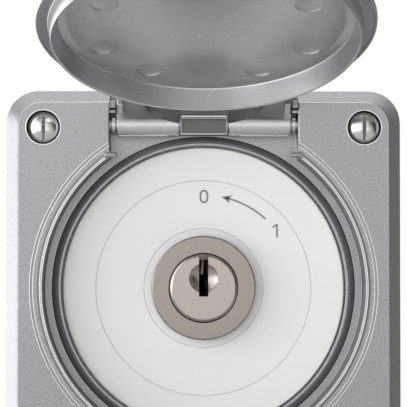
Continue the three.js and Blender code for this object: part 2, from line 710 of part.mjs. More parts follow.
PIN_STACKS.forEach((h, i) => {
  put(`key_pin_${i + 1}`, keyPin(h), 'brass');
  put(`driver_pin_${i + 1}`, driverPin(h), 'brass');
  put(`pin_spring_${i + 1}`, pinSpring(h), 'steel');
});

export default part;
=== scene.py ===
"""Flush-mounted selector key switch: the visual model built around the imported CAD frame.

Every piece is modelled in millimetres, in sections of (r, h) or (x, h): h is the height in front of
the wall plane, so a point's y is -h. A finished piece is scaled to metres and rides on its body.
"""
import json
import math

import bmesh
import bpy
from mathutils import Matrix, Vector


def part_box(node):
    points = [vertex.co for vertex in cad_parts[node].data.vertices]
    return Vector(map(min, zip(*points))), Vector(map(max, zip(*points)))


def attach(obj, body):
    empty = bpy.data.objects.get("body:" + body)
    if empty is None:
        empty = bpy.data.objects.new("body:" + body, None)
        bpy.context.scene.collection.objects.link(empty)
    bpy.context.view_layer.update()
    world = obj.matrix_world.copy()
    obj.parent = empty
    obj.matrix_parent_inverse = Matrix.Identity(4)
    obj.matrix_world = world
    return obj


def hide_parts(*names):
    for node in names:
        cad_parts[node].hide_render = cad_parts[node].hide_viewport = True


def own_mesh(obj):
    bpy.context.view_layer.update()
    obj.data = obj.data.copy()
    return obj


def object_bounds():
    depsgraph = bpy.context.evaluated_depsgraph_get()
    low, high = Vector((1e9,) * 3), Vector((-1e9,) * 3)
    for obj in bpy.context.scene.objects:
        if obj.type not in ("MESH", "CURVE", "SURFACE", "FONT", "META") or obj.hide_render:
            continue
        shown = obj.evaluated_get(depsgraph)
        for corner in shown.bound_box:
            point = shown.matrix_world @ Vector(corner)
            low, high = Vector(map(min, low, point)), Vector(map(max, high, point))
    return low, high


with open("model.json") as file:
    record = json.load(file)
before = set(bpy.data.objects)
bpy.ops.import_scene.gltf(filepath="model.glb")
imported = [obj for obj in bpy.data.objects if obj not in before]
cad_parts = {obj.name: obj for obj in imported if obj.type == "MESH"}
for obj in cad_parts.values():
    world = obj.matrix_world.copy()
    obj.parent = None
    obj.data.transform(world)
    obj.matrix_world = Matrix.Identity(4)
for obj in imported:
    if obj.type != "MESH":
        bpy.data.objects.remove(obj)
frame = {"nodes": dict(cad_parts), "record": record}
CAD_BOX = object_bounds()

MM = 0.001
TAU = 2 * math.pi


# ---- sizes read from the frame, mm ----
def box_mm(node):
    """The low and high corners of a node's box."""
    low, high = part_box(node)
    return low / MM, high / MM


def joint_named(name):
    """A joint's row in the record."""
    return next(j for j in frame["record"]["behaviour"]["joints"] if j["name"] == name)


FRAME_LOW, FRAME_HIGH = box_mm("front_frame")
BASE_HALF = FRAME_HIGH.x
RIM_BACK_H = -FRAME_HIGH.y
BEAD_H = -FRAME_LOW.y
SCREW_LOW, SCREW_HIGH = box_mm("frame_screw_top_right")
SCREW_XZ = (SCREW_LOW.x + SCREW_HIGH.x) / 2
CORNERS = {"top_left": (-1, 1), "top_right": (1, 1), "bottom_right": (1, -1), "bottom_left": (-1, -1)}
HINGE = joint_named("lid_hinge")
PIN_H = -HINGE["pos_m"][1] / MM
PIN_Z = HINGE["pos_m"][2] / MM
LID_OPEN = math.radians(HINGE["range_deg"][1])
LID_R = box_mm("lid")[1].x
COVER_H = -box_mm("cover_disc")[0].y
BEZEL_H = -box_mm("lock_bezel")[0].y
BEZEL_R = box_mm("lock_bezel")[1].x
PLUG_R = box_mm("lock_plug")[1].x
PLATE_H = -box_mm("support_plate")[0].y
PLATE_HALF = box_mm("support_plate")[1].x
SWITCH_R = box_mm("switch_base")[1].x
SWITCH_BACK_H = -box_mm("switch_base")[1].y

# ---- sizes inside the pieces, mm: R is a radius, H a height in front of the wall ----
FACE_H = BEAD_H - 0.5
SHOULDER_H = 9.8
FACE_HALF = 38.95
OPENING_R = 30.1
LIP_R = 30.7
LIP_H = 11.5
GROOVE_R = 32.0
GROOVE_H = 9.3
WELL_R = 33.7
WELL_FLOOR_H = 10.0
FLOOR_BACK_H = 7.8
BEAD_R = 34.65
GROOVE_IN_R = 35.95
STEP_R = 36.5
BORE_R = 3.55
RECESS_HALF = 19.75
CENTRE_HALF = 4.9
POCKET_HALF = 4.7
CENTRE_Z = (32.2, 36.4)
PIN_R = 1.25
BARREL_R = 2.45
ARM_X = (5.2, 18.25)
SKIRT_R = LID_R - 2.6
SCOOP_HALF_X = 12.6
SCOOP_HALF_Z = 4.8
SCOOP_Z = 38.9
MARK_R = 2.85
MARK_SPOTS = ((11.3, 21.8), (20.9, 12.0), (20.2, -6.0), (11.3, -20.0))
COVER_FLANGE = 1.6
COVER_R = box_mm("cover_ring")[1].x - COVER_FLANGE
RING_IN_R = 22.95
LINE = 0.38
SPLIT_R = (box_mm("cover_disc")[1].x + RING_IN_R) / 2
COLLAR_R = box_mm("lock_collar")[1].x + 0.15
KEY_SLOT_HALF = 0.98
KEY_SLOT_Z = (-1.8, 6.0)
KEY_SLOT_END_H = -15
FAR = 50


# ---- mesh helpers, mm ----
def rounded_path(points, closed, steps=4):
    """Points are (a, b) or (a, b, radius); a corner with a radius becomes an arc."""
    result = []
    count = len(points)
    for i, point in enumerate(points):
        here = Vector(point[:2])
        radius = point[2] if len(point) > 2 else 0
        if not radius or (not closed and i in (0, count - 1)):
            result.append(here)
            continue
        before = Vector(points[i - 1][:2]) - here
        after = Vector(points[(i + 1) % count][:2]) - here
        half = before.angle(after) / 2
        reach = min(radius / math.tan(half), 0.49 * before.length, 0.49 * after.length)
        fitted = reach * math.tan(half)
        start = here + before.normalized() * reach
        end = here + after.normalized() * reach
        centre = here + (before.normalized() + after.normalized()).normalized() * fitted / math.sin(half)
        first = start - centre
        turn = first.angle_signed(end - centre)
        for k in range(steps + 1):
            result.append(centre + Matrix.Rotation(-turn * k / steps, 2) @ first)
    return result


def object_from(name, bm):
    """Closes a bmesh into an object of the scene, its normals outward."""
    bmesh.ops.remove_doubles(bm, verts=bm.verts, dist=0.0001)
    bmesh.ops.recalc_face_normals(bm, faces=bm.faces)
    mesh = bpy.data.meshes.new(name)
    bm.to_mesh(mesh)
    bm.free()
    obj = bpy.data.objects.new(name, mesh)
    bpy.context.scene.collection.objects.link(obj)
    return obj


def skin(bm, rings):
    """Quads between neighbouring rings of vertices; a ring of one vertex is a pole."""
    for a, b in zip(rings, rings[1:]):
        count = max(len(a), len(b))
        for i in range(count):
            j = (i + 1) % count
            corners = [a[i % len(a)], a[j % len(a)], b[j % len(b)], b[i % len(b)]]
            unique = list(dict.fromkeys(corners))
            if len(unique) > 2:
                bm.faces.new(unique)


def revolve(name, profile, closed=True, segments=128, steps=4, axis="y"):
    """A solid of revolution about the lock's axis, or about the X axis with profile (r, x)."""
    path = rounded_path(profile, closed, steps)
    bm = bmesh.new()
    rings = []
    for r, h in path:
        if r < 1e-6:
            place = (0, -h, 0) if axis == "y" else (h, 0, 0)
            rings.append([bm.verts.new(place)])
            continue
        ring = []
        for k in range(segments):
            c, s = math.cos(TAU * k / segments), math.sin(TAU * k / segments)
            place = (r * c, -h, r * s) if axis == "y" else (h, r * c, r * s)
            ring.append(bm.verts.new(place))
        rings.append(ring)
    if closed:
        rings.append(rings[0])
    skin(bm, rings)
    return object_from(name, bm)


def rounded_square(half, radius, steps=10):
    """The outline of a square with round corners, as (x, z) points."""
    points = []
    for sx, sz, start in ((1, 1, 0), (-1, 1, 90), (-1, -1, 180), (1, -1, 270)):
        for k in range(steps + 1):
            angle = math.radians(start + 90 * k / steps)
            x = sx * (half - radius) + radius * math.cos(angle)
            points.append((x, sz * (half - radius) + radius * math.sin(angle)))
    return points


def loft(name, sections):
    """Skins outlines of (x, z) points, given as (outline, h), and closes both ends."""
    bm = bmesh.new()
    rings = [[bm.verts.new((x, -h, z)) for x, z in outline] for outline, h in sections]
    skin(bm, rings)
    bm.faces.new(rings[0])
    bm.faces.new(rings[-1])
    return object_from(name, bm)


def square_loft(name, profile, radius_at, steps=4):
    """Lofts rounded squares along a profile of (half, h, fillet) points."""
    path = rounded_path(profile, False, steps)
    return loft(name, [(rounded_square(half, radius_at(half)), h) for half, h in path])


def slab(name, x, z, h, edge=0.0):
    """A box over the ranges x, z and h, with its edges rounded by edge."""
    bm = bmesh.new()
    bmesh.ops.create_cube(bm, size=1)
    size = Vector((x[1] - x[0], h[1] - h[0], z[1] - z[0]))
    middle = Vector((x[0] + x[1], -(h[0] + h[1]), z[0] + z[1])) / 2
    bmesh.ops.transform(bm, verts=bm.verts, matrix=Matrix.Translation(middle) @ Matrix.Diagonal((*size, 1)))
    if edge:
        bmesh.ops.bevel(bm, geom=bm.edges, offset=edge, segments=3, affect="EDGES", profile=0.5)
    return object_from(name, bm)


def bar(name, outline, x):
    """An outline of (z, h) or (z, h, fillet) points, drawn out over the range x."""
    path = rounded_path(outline, True)
    bm = bmesh.new()
    rings = [[bm.verts.new((end, -h, z)) for z, h in path] for end in x]
    skin(bm, rings)
    bm.faces.new(rings[0])
    bm.faces.new(rings[1])
    return object_from(name, bm)


def ball(name, radius):
    """A sphere about the origin."""
    bm = bmesh.new()
    bmesh.ops.create_uvsphere(bm, u_segments=96, v_segments=64, radius=radius)
    return object_from(name, bm)


def moved(obj, x=0.0, h=0.0, z=0.0):
    """Shifts a piece's mesh by x, h and z."""
    obj.data.transform(Matrix.Translation((x, -h, z)))
    return obj


def combine(obj, others, operation):
    """Applies a boolean with each of the others in turn, and removes them."""
    for other in others:
        modifier = obj.modifiers.new("boolean", "BOOLEAN")
        modifier.operation = operation
        modifier.solver = "MANIFOLD"
        modifier.object = other
        graph = bpy.context.evaluated_depsgraph_get()
        mesh = bpy.data.meshes.new_from_object(obj.evaluated_get(graph))
        obj.modifiers.clear()
        old = obj.data
        obj.data = mesh
        bpy.data.meshes.remove(old)
        bpy.data.objects.remove(other)
    return obj


def cut(obj, *others):
    """Takes the others out of a piece."""
    return combine(obj, others, "DIFFERENCE")


def join(obj, *others):
    """Merges the others into a piece."""
    return combine(obj, others, "UNION")


def soften(obj, angle):
    """Smooth shading that keeps edges over the angle sharp and flat faces flat."""
    mesh = obj.data
    mesh.shade_smooth()
    mesh.set_sharp_from_angle(angle=math.radians(angle))
    weighted = obj.modifiers.new("weighted_normals", "WEIGHTED_NORMAL")
    weighted.keep_sharp = True
    weighted.weight = 80


def finish_piece(obj, name, slot_name, body="housing", nodes=None, look=None):
    """Scales a piece to metres, gives it the material of its look or else of its slot, and lets it ride on
    its body.

    It stands for the CAD node of its own name, or for the listed nodes.
    """
    obj.name = name + "_look"
    obj.data.transform(Matrix.Scale(MM, 4))
    soften(obj, 32)
    obj.data.materials.clear()
    obj.data.materials.append(MATERIALS[look or slot_name])
    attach(obj, body)
    if nodes is None:
        nodes = [name]
    if nodes:
        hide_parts(*nodes)


# ---- materials ----
class Nodes:
    """A short way to write a material's node tree."""

    def __init__(self, name):
        self.material = bpy.data.materials.new(name)
        self.material.use_nodes = True
        self.tree = self.material.node_tree
        self.shader = self.tree.nodes["Principled BSDF"]
        self.place = self.add("ShaderNodeTexCoord").outputs["Object"]

    def add(self, kind, **values):
        node = self.tree.nodes.new(kind)
        for key, value in values.items():
            setattr(node, key, value)
        return node

    def link(self, output, socket):
        self.tree.links.new(output, socket)

    def stretched(self, scale):
        mapping = self.add("ShaderNodeMapping")
        mapping.inputs["Scale"].default_value = scale
        self.link(self.place, mapping.inputs["Vector"])
        return mapping.outputs["Vector"]

    def noise(self, scale, detail=2.0, roughness=0.5, place=None):
        node = self.add("ShaderNodeTexNoise")
        node.inputs["Scale"].default_value = scale
        node.inputs["Detail"].default_value = detail
        node.inputs["Roughness"].default_value = roughness
        self.link(place or self.place, node.inputs["Vector"])
        return node.outputs["Fac"]

    def span(self, value, low, high, from_low=0.3, from_high=0.7):
        node = self.add("ShaderNodeMapRange")
        node.inputs["From Min"].default_value = from_low
        node.inputs["From Max"].default_value = from_high
        node.inputs["To Min"].default_value = low
        node.inputs["To Max"].default_value = high
        self.link(value, node.inputs["Value"])
        return node.outputs["Result"]

    def ramp(self, value, dark, light, start=0.3, end=0.7):
        node = self.add("ShaderNodeValToRGB")
        node.color_ramp.elements[0].position = start
        node.color_ramp.elements[0].color = (*dark, 1)
        node.color_ramp.elements[1].position = end
        node.color_ramp.elements[1].color = (*light, 1)
        self.link(value, node.inputs["Fac"])
        return node.outputs["Color"]

    def bump(self, value, strength, distance, normal=None):
        node = self.add("ShaderNodeBump")
        node.inputs["Strength"].default_value = strength
        node.inputs["Distance"].default_value = distance
        self.link(value, node.inputs["Height"])
        if normal is not None:
            self.link(normal, node.inputs["Normal"])
        return node.outputs["Normal"]

    def put(self, **sockets):
        for key, value in sockets.items():
            socket = self.shader.inputs[key.replace("_", " ")]
            if isinstance(value, bpy.types.NodeSocket):
                self.link(value, socket)
            else:
                socket.default_value = value
        return self.material


def shaded(color, factor):
    """The colour made darker or lighter by a factor."""
    return tuple(min(1.0, c * factor) for c in color)


def cast_aluminium():
    """The plate: die-cast metal under a clear satin lacquer, with a fine sparkling grain."""
    n = Nodes("cast_aluminium")
    grain = n.noise(3100, 2, 0.7)
    clouds = n.noise(160, 2, 0.5)
    base = (0.365, 0.365, 0.377)
    colour = n.ramp(grain, shaded(base, 0.75), shaded(base, 1.25), 0.34, 0.66)
    normal = n.bump(grain, 0.5, 0.00004, n.bump(clouds, 0.05, 0.0002))
    return n.put(Base_Color=colour, Metallic=1.0, Roughness=n.span(grain, 0.36, 0.5), Normal=normal)


def smooth_aluminium(name, base, rough):
    """The lid and its arms: the same metal with a smoother, brighter skin."""
    n = Nodes(name)
    clouds = n.noise(220, 2, 0.5)
    fine = n.noise(2600, 2, 0.6)
    colour = n.ramp(clouds, shaded(base, 0.985), shaded(base, 1.015))
    normal = n.bump(fine, 0.03, 0.00002, n.bump(clouds, 0.03, 0.0002))
    return n.put(Base_Color=colour, Metallic=1.0, Roughness=n.span(fine, *rough), Normal=normal)


def nickel(name, base):
    """Satin nickel with fine upright brush marks."""
    n = Nodes(name)
    strokes = n.noise(900, 3, 0.6, n.stretched((6.0, 1.0, 0.12)))
    fine = n.noise(2600, 2, 0.5)
    colour = n.ramp(strokes, shaded(base, 0.93), shaded(base, 1.06), 0.3, 0.7)
    normal = n.bump(strokes, 0.12, 0.00002, n.bump(fine, 0.05, 0.00001))
    return n.put(Base_Color=colour, Metallic=1.0, Roughness=n.span(strokes, 0.24, 0.36), Normal=normal)


def plain_metal(name, base, rough, scale=1400, bumpiness=0.08):
    """A bare metal with fine marks; rough is the range of its roughness."""
    n = Nodes(name)
    marks = n.noise(scale, 3, 0.6)
    colour = n.ramp(marks, shaded(base, 0.88), shaded(base, 1.08))
    normal = n.bump(marks, bumpiness, 0.00002)
    low, high = rough
    return n.put(Base_Color=colour, Metallic=1.0, Roughness=n.span(marks, low, high), Normal=normal)


def moulded(name, base, rough, texture_scale, strength, spread=0.04, specular=0.5):
    """A moulded plastic or rubber with a fine surface texture and a slight spread of tone."""
    n = Nodes(name)
    texture = n.noise(texture_scale, 2, 0.5)
    clouds = n.noise(60, 2, 0.5)
    colour = n.ramp(clouds, shaded(base, 1 - spread), shaded(base, 1 + spread))
    normal = n.bump(texture, strength, 0.00003)
    low, high = rough
    n.put(Specular_IOR_Level=specular)
    return n.put(Base_Color=colour, Roughness=n.span(texture, low, high), Normal=normal)


MATERIALS = {
    "cast_aluminium": cast_aluminium(),
    "lid_aluminium": smooth_aluminium("lid_aluminium", (0.52, 0.52, 0.535), (0.27, 0.33)),
    # A brighter copy of the lid's metal for the hinge arms: painted highlight on the barrels.
    "arm_painted_highlight": smooth_aluminium("arm_painted_highlight", (0.61, 0.61, 0.622), (0.38, 0.44)),
    "nickel": nickel("nickel", (0.305, 0.275, 0.248)),
    "plug_nickel": nickel("plug_nickel", (0.40, 0.366, 0.333)),
    # Brighter metal for painted highlights on edges, the hinge lip and sill.
    "painted_highlight_metal": plain_metal("painted_highlight_metal", (0.74, 0.74, 0.745), (0.3, 0.4)),
    # Dark metal for painted shade on the hinge pocket's floor.
    "pocket_painted_shade": plain_metal("pocket_painted_shade", (0.17, 0.17, 0.172), (0.4, 0.5), 1800),
    "brass": plain_metal("brass", (0.68, 0.52, 0.26), (0.28, 0.42)),
    "zinc_steel": plain_metal("zinc_steel", (0.62, 0.63, 0.64), (0.3, 0.44), 900),
    "screw_steel": plain_metal("screw_steel", (0.66, 0.66, 0.65), (0.14, 0.24), 1500, 0.05),
    "spring_steel": plain_metal("spring_steel", (0.42, 0.42, 0.43), (0.25, 0.4), 1200),
    "white_plastic": moulded("white_plastic", (0.93, 0.93, 0.93), (0.36, 0.44), 1800, 0.05, 0.01),
    "inner_plastic": moulded("inner_plastic", (0.74, 0.72, 0.64), (0.4, 0.5), 1500, 0.1),
    "grey_plastic": moulded("grey_plastic", (0.10, 0.105, 0.115), (0.42, 0.56), 2400, 0.25, 0.06),
    # Black for painted shade at the key slot's closed end.
    "slot_painted_shade": moulded("slot_painted_shade", (0.006, 0.006, 0.005), (0.7, 0.8), 1500, 0.1, 0.02, 0.1),
    "rubber": moulded("rubber", (0.17, 0.174, 0.178), (0.5, 0.62), 1500, 0.15, 0.1, 0.4),
    "print": moulded("print", (0.24, 0.24, 0.24), (0.45, 0.55), 2000, 0.03, 0.03),
}


def pin_bore(radius, half_length):
    """A cutter along the hinge's axis."""
    return revolve("bore", [
        (0, -half_length), (radius, -half_length), (radius, half_length), (0, half_length),
    ], False, 32, 1, "x")


# ---- front frame ----
def opening_cutter():
    """Everything that the round well, its rings and the bead take out of the cast plate."""
    top, face = BEAD_H, FACE_H
    return revolve("opening_cutter", [
        (0, -2), (OPENING_R, -2), (OPENING_R, LIP_H, 0.14), (LIP_R, LIP_H, 0.14), (LIP_R, GROOVE_H, 0.1),
        (GROOVE_R, GROOVE_H, 0.1), (GROOVE_R, WELL_FLOOR_H, 0.15), (WELL_R, WELL_FLOOR_H, 0.3),
        (WELL_R + 0.18, top - 0.15), (WELL_R + 0.24, top), (BEAD_R - 0.15, top), (BEAD_R + 0.07, top - 0.4),
        (BEAD_R + 0.09, face - 0.45), (BEAD_R + 0.27, face - 0.45), (BEAD_R + 0.31, face - 0.14),
        (GROOVE_IN_R, face - 0.12), (GROOVE_IN_R + 0.05, face - 0.36), (STEP_R - 0.14, face - 0.36),
        (STEP_R - 0.1, face), (STEP_R + 0.5, face + 0.02), (STEP_R + 0.5, FAR), (0, FAR),
    ], closed=False, segments=224, steps=4)


def recess_cutter():
    """The hinge's recess: straight walls that round over into the plate's face."""
    half, flare, low_z = RECESS_HALF, 0.9, 24
    section = rounded_path([
        (-half, WELL_FLOOR_H, 0.25), (half, WELL_FLOOR_H, 0.25), (half + 0.1, FACE_H - 0.25),
        (half + 0.33, FACE_H), (half + flare, FACE_H + 0.02), (half + flare, FAR),
        (-half - flare, FAR), (-half - flare, FACE_H + 0.02), (-half - 0.33, FACE_H),
        (-half - 0.1, FACE_H - 0.25),
    ], True, 6)
    bm = bmesh.new()
    rings = [[bm.verts.new((x, -h, z)) for x, h in section] for z in (low_z, FAR)]
    skin(bm, rings)
    bm.faces.new(rings[0])
    bm.faces.new(rings[1])
    cutter = object_from("recess_cutter", bm)
    keep_r = GROOVE_R + 0.5
    keep = revolve("keep", [(0, 0), (keep_r, 0), (keep_r, FAR), (0, FAR)], False, 224)
    return cut(cutter, keep)


def counterbore(x, z):
    """The hole for a frame screw's head, with the room above it open to the front."""
    floor_h, mouth_r = 13.1, 4.6
    bore = revolve("counterbore", [
        (0, floor_h), (BORE_R, floor_h, 0.2), (BORE_R, FACE_H), (mouth_r, FACE_H + 0.02), (mouth_r, FAR),
        (0, FAR),
    ], False, 72, 5)
    return moved(bore, x, 0, z)


def hollow_behind():
    """The space behind the plate: all but its walls, its screw bosses and the ring round the well."""
    inner, corner_r, boss_r, top = BASE_HALF - 2.4, 5.0, 6.2, 20
    cavity = square_loft("cavity", [(inner, -1), (inner, FLOOR_BACK_H)], lambda half: corner_r)
    under = square_loft("under", [
        (inner, FLOOR_BACK_H - 0.5), (inner - 0.2, SHOULDER_H - 0.6), (inner - 2.2, FACE_H - 2.9),
    ], lambda half: corner_r)
    kept_r, kept_x = WELL_R + 2.2, RECESS_HALF + 3.4
    kept = revolve("kept", [(0, 0), (kept_r, 0), (kept_r, top), (0, top)], False, 96)
    under = cut(under, kept, slab("kept", (-kept_x, kept_x), (10, FAR), (-1, top + 1)))
    cavity = join(cavity, under)
    for sx, sz in CORNERS.values():
        boss = revolve("boss", [(0, -2), (boss_r, -2), (boss_r, top), (0, top)], False, 48)
        cavity = cut(cavity, moved(boss, sx * SCREW_XZ, 0, sz * SCREW_XZ))
    return cavity


def centre_block(low):
    """The block between the hinge barrels, with a shallow hollow in its front."""
    bottom, top = CENTRE_Z
    front = 15.3
    block = bar("centre", [
        (bottom, low), (bottom, front - 0.1), (bottom + 0.1, front), (top - 0.8, front),
        (top - 0.6, front + 0.15), (top - 0.3, front + 0.1), (top, front - 0.2), (top, low),
    ], (-CENTRE_HALF, CENTRE_HALF))
    sill, brow = bottom + 0.22, top - 0.9
    pocket = bar("pocket", [
        (sill, 14.55), (brow, 14.18), (brow, 17), (sill, 17)], (-POCKET_HALF, POCKET_HALF))
    return cut(block, pocket)


def end_bump(side):
    """The round bump on the recess's lower corner."""
    bump_r, near, far = 0.56, -1.15, 1.6
    bump = revolve("bump", [
        (0, near), (bump_r, near, 0.5), (bump_r, far, 0.5), (0, far)], False, 32, 5, "x")
    if side < 0:
        bump.data.transform(Matrix.Rotation(math.pi, 4, "Z"))
    return moved(bump, side * 19.4, FACE_H + 0.15, 27.85)


def hinge_lugs():
    """What stands in the hinge's recess: the centre block, and two small posts and a bump at each end."""
    low = WELL_FLOOR_H - 0.6
    lugs = [centre_block(low)]
    for side in (-1, 1):
        x = sorted((side * 18.6, side * (RECESS_HALF + 0.5)))
        lugs.append(slab("post", x, (36.75, 37.5), (low, 14.2), 0.12))
        lugs.append(slab("post", x, (37.8, 39.4), (low, 14.6), 0.2))
        lugs.append(end_bump(side))
    return lugs


def front_frame():
    """The die-cast front plate: a sloped square with a raised ring, a round well and a hinge recess."""
    def corner_radius(half):
        return outer_corner - 0.7 * (BASE_HALF - half)

    outer_corner = 7.0
    plate = square_loft("plate", [
        (BASE_HALF - 0.6, RIM_BACK_H), (BASE_HALF, RIM_BACK_H, 0.3), (BASE_HALF - 0.25, SHOULDER_H, 0.8),
        (FACE_HALF + 0.25, FACE_H - 0.35), (FACE_HALF - 0.1, FACE_H), (FACE_HALF - 2.5, FACE_H),
    ], corner_radius, 5)
    ring_r, ring_h = STEP_R - 1, (13, 17)
    collar = revolve("collar", [(0, ring_h[0]), (ring_r, ring_h[0]), (ring_r, ring_h[1]), (0, ring_h[1])],
                     False, 224)
    plate = join(plate, collar)
    plate = cut(plate, opening_cutter(), recess_cutter(), hollow_behind())
    plate = join(plate, *hinge_lugs())
    plate = cut(plate, moved(pin_bore(PIN_R + 0.08, 21.7), 0, PIN_H, PIN_Z))
    for sx, sz in CORNERS.values():
        x, z = sx * SCREW_XZ, sz * SCREW_XZ
        hole = revolve("hole", [(0, -1), (2.2, -1), (2.2, 20), (0, 20)], False, 32)
        plate = cut(plate, counterbore(x, z), moved(hole, x, 0, z))
    finish_piece(plate, "front_frame", "cast_aluminium")


def edge_ring(inner_r, h, width=0.2):
    """A thin ring that lies in the plate's face, just proud of it."""
    outer_r, low, high, fillet = inner_r + width, h - 0.2, h + 0.01, 0.03
    return revolve("edge", [
        (inner_r, low), (outer_r, low), (outer_r, high, fillet), (inner_r, high, fillet)], True, 224, 2)


def painted_highlight_edges():
    """Painted highlights on edges that catch the light: brighter metal on the plate's rings, its
    counterbores and the hinge lip; and painted shade on the hinge pocket's floor.
    """
    # Thin rings of brighter metal on the plate's ring edges and counterbores: painted highlights.
    edges = edge_ring(STEP_R - 0.1, FACE_H)
    edges = join(edges, edge_ring(GROOVE_IN_R - 0.2, FACE_H - 0.12), edge_ring(WELL_R + 0.24, BEAD_H),
                 edge_ring(BEAD_R - 0.35, BEAD_H))
    edges = cut(edges, recess_cutter())
    for sx, sz in CORNERS.values():
        edges = join(edges, moved(edge_ring(BORE_R, FACE_H, 0.22), sx * SCREW_XZ, 0, sz * SCREW_XZ))
    bottom, top = CENTRE_Z
    across = (-POCKET_HALF, POCKET_HALF)
    # Strips of brighter metal on the hinge lip and sill: painted highlights.
    lip = slab("lip", across, (top - 0.65, top - 0.2), (15.1, 15.42), 0.06)
    sill = slab("sill", across, (bottom + 0.05, bottom + 0.22), (14.9, 15.32), 0.04)
    finish_piece(join(edges, lip, sill), "painted_highlight_edges", "cast_aluminium", nodes=[], look="painted_highlight_metal")
    # A dark sheet on the hinge pocket's floor: painted shade under the lip.
    floor_h, near, away = 14.2, bottom + 0.2, top - 0.8
    inside = (-POCKET_HALF + 0.02, POCKET_HALF - 0.02)
    bed = bar("bed", [(near, floor_h + 0.1), (near, floor_h + 0.45), (away, floor_h + 0.08),
                      (away, floor_h - 0.05)], inside)
    finish_piece(bed, "hinge_pocket_painted_shade", "cast_aluminium", nodes=[], look="pocket_painted_shade")


def gasket_and_seal():
    """The square gasket behind the plate, and the round seal that the closed lid presses on."""
    half, top, gap_half = BASE_HALF - 0.3, RIM_BACK_H - 0.3, 39.1
    outer = square_loft("gasket", [
        (half - 0.2, 0), (half, 0.2), (half, top - 0.2), (half - 0.2, top)], lambda half: 6.8)
    inner = square_loft("gap", [(gap_half, -1), (gap_half, 3)], lambda half: 4.6)
    finish_piece(cut(outer, inner), "frame_gasket", "rubber")
    low, inner_r, outer_r = GROOVE_H + 0.3, LIP_R + 0.04, GROOVE_R - 0.08
    seal = revolve("seal", [
        (inner_r, low), (outer_r, low), (outer_r, 9.75, 0.1), (31.35, 10.7, 0.8), (31.0, 11.25, 0.2),
        (inner_r, 11.2),
    ], True, 192, 5)
    finish_piece(seal, "lid_seal", "rubber")


def screw_dome(top, ball_r, edge_angle, steps=12):
    """The round top of a screw's head, as (r, h) points from its edge to its middle."""
    points = []
    for k in range(steps + 1):
        angle = edge_angle * (1 - k / steps)
        points.append((ball_r * math.sin(angle), top - ball_r * (1 - math.cos(angle))))
    return points


def frame_screws():
    """Four slotted screws with domed heads, each on its sealing washer."""
    head_r, shank_r, seat_h, slit_half = 3.1, 1.9, 13.95, 0.42
    dome = screw_dome(15.88, 5.6, math.radians(32.5))
    seal_in, seal_out, seal_low, seal_top = 2.15, 3.4, 13.35, 13.7
    for word, (sx, sz) in CORNERS.items():
        x, z = sx * SCREW_XZ, sz * SCREW_XZ
        screw = revolve("screw", [
            (0, 0.15), (1.4, 0.15), (shank_r, 0.7), (shank_r, seat_h), (head_r, seat_h, 0.1),
            (head_r, dome[0][1] - 0.05, 0.05), *dome,
        ], False, 96, 4)
        slit = bar("slit", [(-slit_half, 15.9), (0, 14.6), (slit_half, 15.9), (slit_half, 17),
                            (-slit_half, 17)], (-4, 4))
        slit.data.transform(Matrix.Rotation(math.pi / 2, 4, "Y"))
        finish_piece(moved(cut(screw, slit), x, 0, z), "frame_screw_" + word, "screw_steel")
        ring = revolve("ring", [
            (seal_in, seal_low), (seal_out, seal_low, 0.1), (seal_out, seal_top, 0.1), (seal_in, seal_top),
        ], True, 48, 3)
        finish_piece(moved(ring, x, 0, z), "screw_seal_" + word, "rubber")


# ---- lid ----
def opened(obj):
    """Turns a piece modelled with the lid closed to the open rest pose."""
    hinge = Vector((0, -PIN_H, PIN_Z))
    turn = Matrix.Translation(hinge) @ Matrix.Rotation(-LID_OPEN, 4, "X") @ Matrix.Translation(-hinge)
    obj.data.transform(turn)
    return obj


def lid_shell():
    """The round dish of the lid, modelled closed, from a profile of (r, height above the hinge's axis)."""
    profile = [
        (0, 8.2), (26, 8.1, 12), (31, 7.5, 4), (33.2, 6.8, 1.5), (LID_R, 6.1, 0.4), (LID_R, 5.6, 0.2),
        (LID_R - 0.1, 4.9, 0.15), (LID_R - 0.55, 4.9, 0.12), (LID_R - 0.65, 5.3, 0.12),
        (SKIRT_R, 5.3, 0.25), (SKIRT_R - 0.5, 1.5, 0.1), (SKIRT_R - 0.7, 1.5), (SKIRT_R - 0.95, 1.75),
        (SKIRT_R - 1.45, 4.4, 0.5), (SKIRT_R - 1.75, 5.95, 0.06), (SKIRT_R - 1.88, 6.2, 0.1),
        (28, 6.52, 5), (22, 6.75, 14), (0, 6.75),
    ]
    closed = [(point[0], PIN_H + point[1], *point[2:]) for point in profile]
    return revolve("shell", closed, False, 224, 5)


def lid_arm(side):
    """A hinge arm: the barrel, a web that leans back from it, and a foot under the lid's flange."""
    def at(along, up, fillet=0.0):
        return (PIN_Z - along, PIN_H + up, fillet)

    x = sorted((side * ARM_X[0], side * ARM_X[1]))
    web = bar("web", [
        at(2.39, 0.54), at(1.46, 4.6), at(1.4, 5.0), at(9, 5.0), at(9, 6.2), at(0, 6.2, 0.5),
        at(-0.5, 5.2, 0.5), at(-2.05, 1.45), at(-1.0, 0.0), at(1.0, 0.0)], x)
    ear_x = sorted((side * (ARM_X[1] - 1.3), side * ARM_X[1]))
    ear = slab("ear", ear_x, (PIN_Z - 6, PIN_Z + 0.6), (PIN_H + 1.7, PIN_H + 5.2), 0.2)
    inner_r = SKIRT_R - 0.7
    inside = revolve("inside", [(0, 0), (inner_r, 0), (inner_r, 40), (0, 40)], False, 224)
    barrel = revolve("barrel", [
        (0, x[0]), (BARREL_R, x[0], 0.2), (BARREL_R, x[1], 0.2), (0, x[1])], False, 96, 4, "x")
    return join(cut(join(web, ear), inside), moved(barrel, 0, PIN_H, PIN_Z))


def barrel_ridge(side):
    """The fine moulding line along the bottom of the open barrel."""
    x = sorted((side * 7.6, side * (ARM_X[1] - 0.3)))
    low, back, front = PIN_Z - BARREL_R, PIN_H + 0.1, PIN_H + 0.92
    return bar("ridge", [
        (low - 0.02, back), (low - 0.02, front - 0.1), (low + 0.08, front), (low + 0.3, front),
        (low + 0.3, back),
    ], x)


